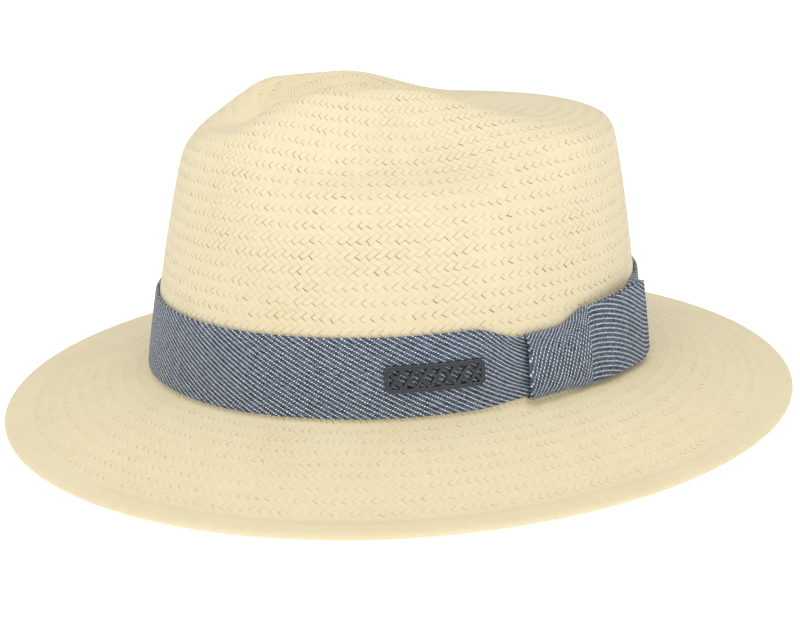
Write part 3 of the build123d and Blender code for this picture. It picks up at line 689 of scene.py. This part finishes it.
# the strip isn't pulled quite evenly: its edges and its face wander by about a tenth of a mm
slack = 0.12 * np.sin(np.radians(band_turns * 7 + 40)) * np.sin(np.radians(band_turns * 3))
band_height_at = mix(edge_low + slack, edge_high + slack, rise)
by_knot = np.exp(-(np.abs(band_turns - KNOT_ANGLE) / (KNOT_SPAN / 2 + 1.0)) ** 6)
pleats = np.sin(2 * np.pi * (3.2 * rise + 0.1)) * 0.42 * pull ** 2 - 0.3 * by_knot
stand_off = 0.1 * np.sin(np.radians(band_turns * 5)) * (1 - pull)
band_out = SOFT_GAP + BAND_THICK / 2 + pleats + stand_off
band_middle = on_wall(band_turns, band_height_at, band_out)
around_mm = length_round(band_middle, 20)
band_uv = np.stack(np.broadcast_arrays(around_mm, rise * BAND_HEIGHT), -1)
band_thick = mix(BAND_THICK, GATHERED_THICK, pull)
band = set_down(cloth("denim_band", band_middle, band_thick, band_full, band_uv, ring=True),
                denim)
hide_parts("hat_band")

# ---------------------------------------------------------------- bow
# The flat bow on the wearer's left: a short strip of the same denim wrapped over the band as
# the knot, and one wing, a loop of the strip folded back on itself and tucked under the knot.

KNOT_WIDE, KNOT_LONG = 31.0, 36.0          # the knot's strip laid flat, mm
KNOT_PLY, TUCKED_PLY = 1.6, 1.0
WING_SPAN, WING_THICK, WING_FLARE, WING_GAP, WING_RISE = 24.0, 2.4, 3.0, 0.25, 1.2
WING_PLY, PINCHED_PLY = 1.0, 0.7
WING_LONG = 39.0                           # mm from the knot to the fold
FOLD_SHARE = 0.02                          # share of the wing's path spent turning over
OVER_BAND = SOFT_GAP + BAND_THICK + SOFT_GAP

knot_across, knot_side_full = rounded_steps(KNOT_WIDE, 0.8, 36)
knot_turn = mix(KNOT_ANGLE - KNOT_SPAN / 2, KNOT_ANGLE + KNOT_SPAN / 2, knot_across)[None]
knot_along, knot_end_full = rounded_steps(KNOT_LONG, 0.5, 70)
knot_along, knot_end_full = knot_along[::-1, None], knot_end_full[::-1, None]
low, high = band_edges(knot_turn[0])
tall = high - low
# (distance out, height) of the strip's path: behind the band, round its lower edge, up its
# face and back over its top edge
level = 0 * low
knot_path = np.array([
    [level + 0.6, low - 0.5], [level + 1.3, low - 0.55], [level + 2.4, low - 0.6],
    [level + 3.0, low + 0.6], [level + 3.1, low + 0.2 * tall], [level + 3.25, low + 0.5 * tall],
    [level + 3.1, high - 0.2 * tall], [level + 3.0, high - 0.9], [level + 2.4, high + 0.2],
    [level + 1.3, high + 0.1], [level + 0.6, high]])
knot_path = np.repeat(knot_path[:, :, None], len(knot_along), 2)
knot_out, knot_height = blend_curve(knot_path, np.repeat(knot_along, len(low), 1))
face_on = ease(knot_out, 1.6, 2.8)
creases = 0.22 * np.sin(2 * np.pi * (2.4 * knot_across + 0.12 * knot_along + 0.3))
creases = creases - 0.35 * np.exp(-((knot_across - 0.3 - 0.15 * knot_along) / 0.045) ** 2)
lifted = 0.35 * np.exp(-knot_across / 0.12)
knot_out = knot_out + (creases + lifted) * face_on * knot_side_full
knot_middle = on_wall(np.broadcast_to(knot_turn, knot_out.shape), knot_height, knot_out)
knot_uv = np.stack(np.broadcast_arrays(knot_along * KNOT_LONG, -KNOT_WIDE * knot_across[None]), -1)
knot = set_down(cloth("bow_knot_strip", knot_middle, mix(TUCKED_PLY, KNOT_PLY, face_on),
                      knot_end_full * knot_side_full[None], knot_uv), denim)
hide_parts("bow_knot")

wing_start = KNOT_ANGLE + KNOT_SPAN / 2 + WING_GAP
# path along one ply, round the fold and back: share of the way out, and which ply it is on
wing_along, wing_end_full = rounded_steps(2 * WING_LONG, 0.4, 90)
run = np.abs(1 - 2 * wing_along)      # 1 at the fold's ends by the knot, 0 at the fold
out_share = 1 - run
turn_over = np.clip((wing_along - 0.5) / FOLD_SHARE, -1, 1)
ply = 0.5 - 0.5 * np.sin(turn_over * np.pi / 2)      # 1 on the outer ply, 0 on the inner
share = out_share - 0.004 * (1 - np.abs(turn_over))
wing_turn = wing_start - 0.6 + (WING_SPAN + 0.6) * share
flare = OVER_BAND + WING_FLARE * share ** 2
pinch = 1 - ease(share, 0.0, 0.3)
inner_ply, outer_ply = mix(0.5, 0.35, pinch), mix(WING_THICK - 0.5, 1.15, pinch)
wing_out = flare + mix(inner_ply, outer_ply, ply)
# its corners are rounded by the fall of a circle, more at the bottom than at the top
round_low = 6.0 * (1 - np.sqrt(1 - ease(share, 0.72, 1.03) ** 2))
round_high = 2.0 * (1 - np.sqrt(1 - ease(share, 0.88, 1.03) ** 2))
wing_low, wing_high = band_edges(wing_turn)
wing_low = wing_low - WING_RISE * share ** 2 + round_low
wing_high = wing_high + 0.4 + WING_RISE * share - round_high
wing_rise, wing_side_full = rounded_steps(BAND_HEIGHT, 0.5, 34)
wing_rise, wing_side_full = wing_rise[::-1, None], wing_side_full[::-1, None]
ripple = 0.3 * np.sin(2 * np.pi * (1.4 * wing_rise + 0.25))
ripple = ripple * np.exp(-share * 4) * ease(share, 0, 0.1)
wing_height = mix(wing_low, wing_high, wing_rise)
wing_middle = on_wall(wing_turn[None], wing_height, wing_out[None] + ripple)
# the twill leans steeply where the knot pulls it and runs out nearly level at the fold
steep = 0.577 * WING_LONG / 3 * (1 - (1 - np.clip(share, 0, 1)) ** 3)
bias = steep - 0.06 * WING_LONG * share ** 2
wing_mm = wing_along * 2 * WING_LONG
wing_uv = np.stack(np.broadcast_arrays(wing_mm, wing_rise * BAND_HEIGHT - bias), -1)
wing = set_down(cloth("bow_wing_loop", wing_middle, mix(WING_PLY, PINCHED_PLY, pinch)[None],
                      wing_side_full * wing_end_full[None], wing_uv), denim)
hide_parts("bow_wing")

# ---------------------------------------------------------------- badge
# A die-cast plate with a pierced lattice and stepped corners, blackened, with a painted
# highlight, a lighter colour, on its edges. Two bent legs at its back go through the band.


def gunmetal_paint():
    """Blackened zinc: dark and satin, with a painted highlight, a lighter colour, on its rounded
    arrises.
    """
    material, tree, shader = paint("gunmetal")
    where = node(tree, "TexCoord", out=3)
    grain = node(tree, "TexNoise", where, None, 900.0, 3.0, out=0)
    rounded = node(tree, "Bevel", 0.00022, samples=8)
    flat = node(tree, "NewGeometry", out=1)
    edge_turn = node(tree, "VectorMath DOT_PRODUCT", rounded, flat, out=1)
    # painted highlight: the colour turns lighter where the rounded normal leaves the flat one, at
    # the edges
    edge_highlight = node(tree, "MapRange", edge_turn, 0.995, 0.86, 0.0, 1.0)
    tone = node(tree, "Mix", node(tree, "Math MULTIPLY", edge_highlight, grain), *TO_COLOURS,
                colour("#46494D"), colour("#B4B8BD"), out=2, data_type="RGBA")
    tree.links.new(tone, shader.inputs["Base Color"])
    tree.links.new(rounded, shader.inputs["Normal"])
    tree.links.new(node(tree, "MapRange", grain, 0.3, 0.7, 0.28, 0.42), shader.inputs["Roughness"])
    shader.inputs["Metallic"].default_value = 0.85
    return material


def repaint(name, material):
    """Gives a CAD node whose shape is right its real material."""
    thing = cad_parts[name]
    thing.data.materials.clear()
    thing.data.materials.append(material)


gunmetal = gunmetal_paint()
repaint("badge", gunmetal)

# ---------------------------------------------------------------- sweatband
# A cream cotton ribbon inside the head opening, rolled round a plastic reed at its lower edge
# and sewn to the straw just above the break. Its ends butt at the back.

SWEAT_SEAT, SWEAT_HEIGHT, SWEAT_THICK = 1.0, 26.0, 1.1
SWEAT_ROLL, SWEAT_ROLL_TALL, STITCH_HEIGHT = 2.6, 3.2, 6.0
SWEAT_LOW = BREAK_HEIGHT + SWEAT_SEAT
SWEAT_OUT = -STRAW - SOFT_GAP
RIB = 0.8                              # mm from one rib to the next
SWEAT_STEP = 0.75                      # degrees from one column to the next


def ribbed_paint(name, thread, shade, pitch):
    """Grosgrain: round ribs across the ribbon, fine weft over them, from a map in mm.

    Each rib is painted lighter on its crown and darker in its grooves, as painted shade,
    mixed with random blotches of tone.
    """
    material, tree, shader = paint(name)
    where = node(tree, "UVMap", uv_map="weave")
    along_strip, across_strip = node(tree, "SeparateXYZ", where).node.outputs[:2]
    rib = node(tree, "Math ABSOLUTE",
               node(tree, "Math SUBTRACT",
                    node(tree, "Math FRACT", node(tree, "Math DIVIDE", along_strip, pitch)), 0.5))
    dome = node(tree, "Math SUBTRACT", 1.0,
                node(tree, "Math POWER", node(tree, "Math MULTIPLY", rib, 2.0), 2.0))
    fine = node(tree, "Math ABSOLUTE",
                node(tree, "Math SUBTRACT",
                     node(tree, "Math FRACT", node(tree, "Math DIVIDE", across_strip, 0.28)), 0.5))
    blotch = node(tree, "TexNoise", where, None, 0.15, 3.0, out=0, noise_dimensions="2D")
    # painted shade: the ribs' round profile lightens their crowns and darkens the grooves between
    # them, mixed with random blotches of tone
    rib_shade_and_blotch = node(tree, "Math ADD", node(tree, "Math MULTIPLY", dome, 0.6),
                     node(tree, "Math MULTIPLY", blotch, 0.5))
    tint = node(tree, "Mix", rib_shade_and_blotch, *TO_COLOURS, colour(shade), colour(thread),
                out=2, data_type="RGBA")
    tree.links.new(tint, shader.inputs["Base Color"])
    lump = node(tree, "Math ADD", dome, node(tree, "Math MULTIPLY", fine, 0.3))
    raised = node(tree, "Bump", named={"Strength": 0.6, "Distance": 0.0002, "Height": lump})
    tree.links.new(raised, shader.inputs["Normal"])
    shader.inputs["Roughness"].default_value = 0.75
    shader.inputs["Specular IOR Level"].default_value = 0.25
    shader.inputs["Sheen Weight"].default_value = 0.2
    return material


cotton = ribbed_paint("cream_cotton_grosgrain", "#EFE7D2", "#D9CDB0", RIB)
sweat_turns = np.arange(0, 360, SWEAT_STEP)
sweat_rise, sweat_full = rounded_steps(SWEAT_HEIGHT, 0.55, 44)
sweat_mm = sweat_rise[::-1, None] * SWEAT_HEIGHT
roll_full = np.where(sweat_mm < SWEAT_ROLL_TALL / 2,
                     np.sqrt(np.clip(1 - (1 - sweat_mm / (SWEAT_ROLL_TALL / 2)) ** 2, 0, 1)),
                     sweat_full[::-1, None])
in_roll = 1 - ease(sweat_mm, SWEAT_ROLL_TALL, SWEAT_ROLL_TALL + 1.2)
sweat_thick = mix(SWEAT_THICK, SWEAT_ROLL, in_roll)
sweat_middle = on_wall(sweat_turns, SWEAT_LOW + sweat_mm, SWEAT_OUT - sweat_thick / 2)
sweat_round = length_round(sweat_middle, 20)
sweat_uv = np.stack(np.broadcast_arrays(sweat_round, sweat_mm), -1)
sweat = set_down(cloth("sweatband_ribbon", sweat_middle, sweat_thick, roll_full, sweat_uv,
                       ring=True), cotton)
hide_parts("sweatband")

# ---------------------------------------------------------------- sewing thread
# Lockstitches that join the sweatband's roll to the straw, and the tacks through the band.

STITCH_LONG, STITCH_PITCH, THREAD = 2.4, 3.2, 0.5


def thread_paint(name, code):
    """Spun cotton thread: fine plies twisted round it, from the object's own coordinates."""
    material, tree, shader = paint(name)
    where = node(tree, "TexCoord", out=3)
    plies = node(tree, "TexWave", where, 900.0, 1.5, 2.0, out=1, bands_direction="DIAGONAL")
    raised = node(tree, "Bump", named={"Strength": 0.5, "Distance": 0.0001, "Height": plies})
    tree.links.new(raised, shader.inputs["Normal"])
    shader.inputs["Base Color"].default_value = colour(code)
    shader.inputs["Roughness"].default_value = 0.7
    return material


cream_thread = thread_paint("cream_cotton_thread", "#E6DCC2")
navy_thread = thread_paint("navy_cotton_thread", "#2C3644")
stitch_count = int(sweat_round[-1] / STITCH_PITCH)
along = np.linspace(0, 1, 6)                          # rings along one stitch
spin = np.arange(8) * np.pi / 4
middle_turn = (np.arange(stitch_count) + 0.5) * 360.0 / stitch_count
half_turn = 180.0 / stitch_count * STITCH_LONG / STITCH_PITCH
stitch_turn = middle_turn[:, None] + half_turn * (2 * along - 1)
girth = THREAD / 2 * np.sqrt(np.clip(1 - (2 * along - 1) ** 4, 0.04, 1))
sink = 0.25 * (2 * along - 1) ** 4
stitch_height = SWEAT_LOW + STITCH_HEIGHT + girth[:, None] * np.sin(spin)
stitch_out = SWEAT_OUT - SWEAT_THICK - 0.1 + sink[:, None] - girth[:, None] * np.cos(spin)
stitches = on_wall(stitch_turn[..., None], stitch_height[None], stitch_out[None])
corner = np.arange(stitches.size // 3).reshape(stitches.shape[:3])
ahead = np.roll(corner, -1, 2)
sides = np.stack([corner[:, :-1], ahead[:, :-1], ahead[:, 1:], corner[:, 1:]], -1).reshape(-1, 4)
caps = np.concatenate([corner[:, 0], corner[:, -1, ::-1]])
stitch_mesh = bpy.data.meshes.new("sweatband_stitches")
stitch_mesh.from_pydata((stitches.reshape(-1, 3) * MM).tolist(), [], sides.tolist() + caps.tolist())
stitch_mesh.polygons.foreach_set("use_smooth", np.ones(len(stitch_mesh.polygons), bool))
stitching = set_down(stitch_mesh, cream_thread)
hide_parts("sweatband_stitching")
for place in ("front", "right", "back"):
    repaint("band_tack_" + place, navy_thread)

# ---------------------------------------------------------------- small bow and label inside
# The ribbon bow that marks the back of the sweatband, a padded pair of loops tied by a short
# turn of the same ribbon, and a blank woven label sewn beside it.

REAR_BOW_SPAN, REAR_BOW_TALL, REAR_BOW_WAIST = 10.0, 9.0, 0.6
REAR_BOW_THICK, REAR_BOW_HEIGHT = 1.2, 16.0
REAR_BOW_LONG = 34.0                   # mm from tip to tip of its loops
TIE_LONG, TIE_WIDE, TIE_SPAN = 6.0, 4.5, 1.3   # TIE_SPAN is half its width, degrees round
LABEL_ANGLE, LABEL_SPAN, LABEL_TALL, LABEL_THICK, LABEL_HEIGHT = 150.0, 8.0, 15.0, 0.6, 19.0
LABEL_LONG = 26.0
ON_SWEAT = SWEAT_OUT - SWEAT_THICK - SOFT_GAP

bow_across, bow_side = rounded_steps(REAR_BOW_LONG, 1.5, 40)
bow_up, bow_top = rounded_steps(REAR_BOW_TALL, 0.5, 16)
bow_up, bow_top = bow_up[::-1, None], bow_top[::-1, None]
bow_share = np.abs(2 * bow_across - 1)
bow_turn = 180 + REAR_BOW_SPAN * (1 - 2 * bow_across)
bow_half = REAR_BOW_TALL / 2 * mix(REAR_BOW_WAIST, 1.0, ease(bow_share, 0, 0.6))
bow_height = BREAK_HEIGHT + REAR_BOW_HEIGHT + bow_half * (2 * bow_up - 1)
tuck = np.exp(-bow_share * 6) * np.sin(2 * np.pi * 2 * bow_up)
bow_out = ON_SWEAT + 0.1 - REAR_BOW_THICK / 2 + 0.2 * tuck
bow_middle = on_wall(bow_turn[None], bow_height, bow_out)
bow_uv = np.stack(np.broadcast_arrays(REAR_BOW_LONG * bow_across[None], REAR_BOW_TALL * bow_up), -1)
rear_bow = set_down(cloth("rear_bow_loops", bow_middle, 0.95, bow_top * bow_side[None], bow_uv),
                    cotton)
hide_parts("rear_bow")

tie_across, tie_side = rounded_steps(TIE_WIDE, 0.5, 10)
tie_turn = 180 + TIE_SPAN * (1 - 2 * tie_across)
tie_height = BREAK_HEIGHT + REAR_BOW_HEIGHT + TIE_LONG / 2 * (2 * bow_up - 1)
tie_out = ON_SWEAT + 0.2 - REAR_BOW_THICK / 2 - 0.75 * np.sqrt(1 - (2 * bow_up - 1) ** 2)
tie_middle = on_wall(tie_turn[None], tie_height, tie_out)
tie_uv = np.stack(np.broadcast_arrays(TIE_LONG * bow_up, TIE_WIDE * tie_across[None]), -1)
set_down(cloth("rear_bow_tie", tie_middle, 0.6, bow_top * tie_side[None], tie_uv),
         cotton)

label_across, label_side = rounded_steps(LABEL_LONG, 0.3, 20)
label_up, label_top = rounded_steps(LABEL_TALL, 0.3, 12)
label_up, label_top = label_up[::-1, None], label_top[::-1, None]
label_turn = LABEL_ANGLE + LABEL_SPAN * (2 * label_across - 1)
label_height = BREAK_HEIGHT + LABEL_HEIGHT + LABEL_TALL * (label_up - 0.5)
label_middle = on_wall(label_turn[None], label_height, ON_SWEAT + 0.25 - LABEL_THICK / 2)
label_uv = np.stack(np.broadcast_arrays(LABEL_LONG * label_across[None], LABEL_TALL * label_up), -1)
label_cloth = ribbed_paint("white_woven_label", "#F4F1EA", "#DAD6CB", 0.35)
label = set_down(cloth("woven_label", label_middle, 0.5, label_top * label_side[None], label_uv),
                 label_cloth)
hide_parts("size_label")

# ---------------------------------------------------------------- brim wire, sleeve and reed
# Hidden inside the hem and the roll: a ring of spring wire, closed by a crimped steel sleeve,
# and a round plastic reed.


def plain_paint(name, code, metal, rough, grain_size):
    """One colour with a fine uneven polish, from the object's own coordinates."""
    material, tree, shader = paint(name)
    grain = node(tree, "TexNoise", node(tree, "TexCoord", out=3), None, grain_size, 2.0, out=0)
    tree.links.new(node(tree, "MapRange", grain, 0.3, 0.7, rough - 0.06, rough + 0.06),
                   shader.inputs["Roughness"])
    shader.inputs["Base Color"].default_value = colour(code)
    shader.inputs["Metallic"].default_value = metal
    return material


steel = plain_paint("drawn_spring_steel", "#9A9C9F", 1.0, 0.3, 700.0)
reed = plain_paint("extruded_plastic", "#E9E6DC", 0.0, 0.4, 300.0)
repaint("brim_wire", steel)
repaint("wire_sleeve", steel)
repaint("sweatband_reed", reed)
